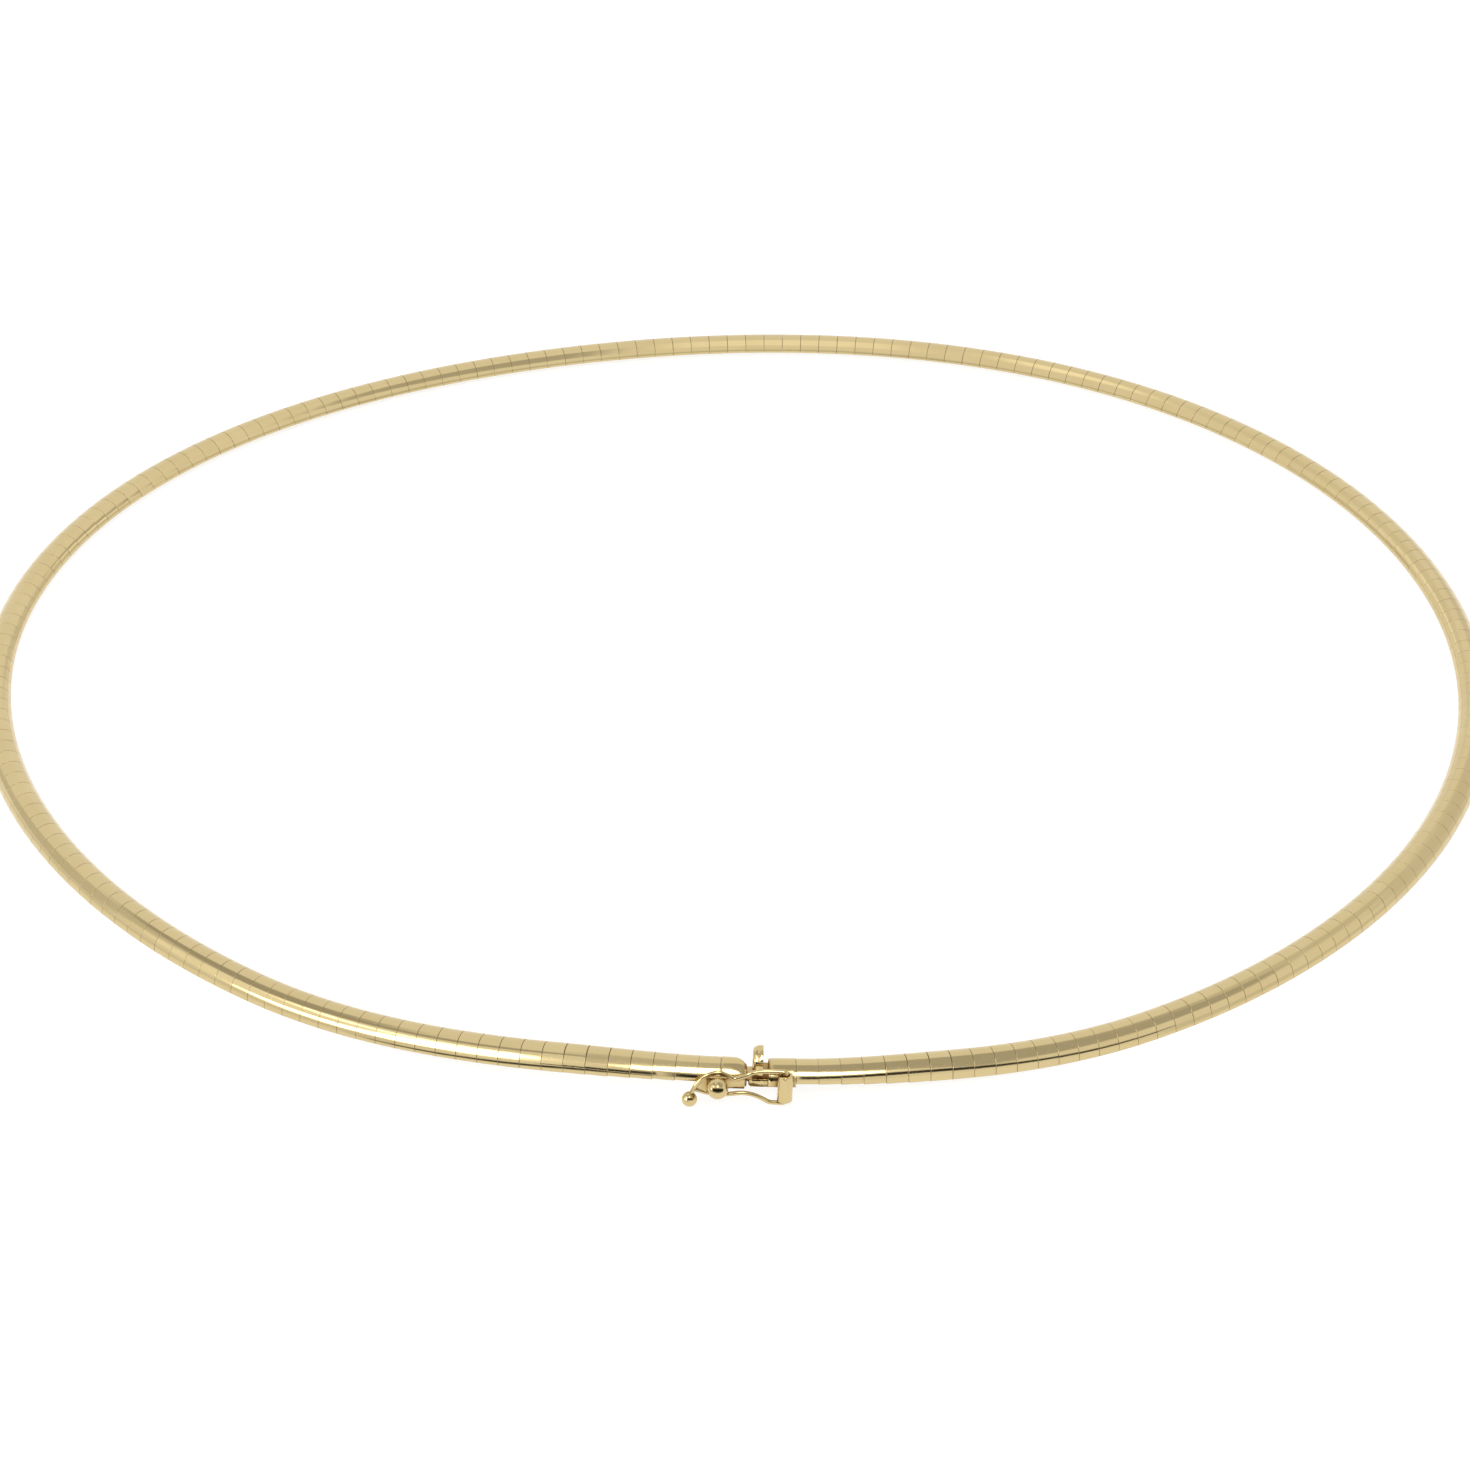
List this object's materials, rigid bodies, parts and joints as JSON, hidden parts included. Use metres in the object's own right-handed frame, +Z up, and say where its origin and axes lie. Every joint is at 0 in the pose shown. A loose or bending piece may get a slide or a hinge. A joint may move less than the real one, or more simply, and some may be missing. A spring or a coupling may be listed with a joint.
{
  "type": "omega necklace",
  "caption": "Rigid omega collar necklace of domed gold sleeves on a flat core, closed by a box and tongue clasp with a thumb tab and a hinged wire safety catch.",
  "frame": {"origin": "centre of the loop's bounding box, on the surface that the necklace lies on", "axes": "+Z up from the surface, -Y out of the loop through the clasp, +X along the band from the tongue's end to the box"},
  "size_m": [0.145, 0.1384, 0.0047],
  "materials": {
    "gold": "polished, lightly satined along the band",
    "core": "plain rolled strip"
  },
  "bodies": {
    "necklace": {"band_sleeves": "gold", "core_strip": "core", "tongue_end": "gold", "box_end": "gold"},
    "tab": {"thumb_tab": "gold"},
    "catch": {"safety_catch": "gold"}
  },
  "joints": [
    {"name": "tab_press", "type": "hinge", "parent": "necklace", "child": "tab", "pos_m": [0.00435, -0.06521, 0.00258], "axis": [0.0031, -0.9962, 0.0871], "range_deg": [0, 8], "stiffness_Nm_per_rad": 0.05},
    {"name": "catch_swing", "type": "hinge", "parent": "necklace", "child": "catch", "pos_m": [0.00437, -0.06751, 0.00211], "axis": [0.0357, 0.0872, 0.9956], "range_deg": [0, 150]}
  ]
}
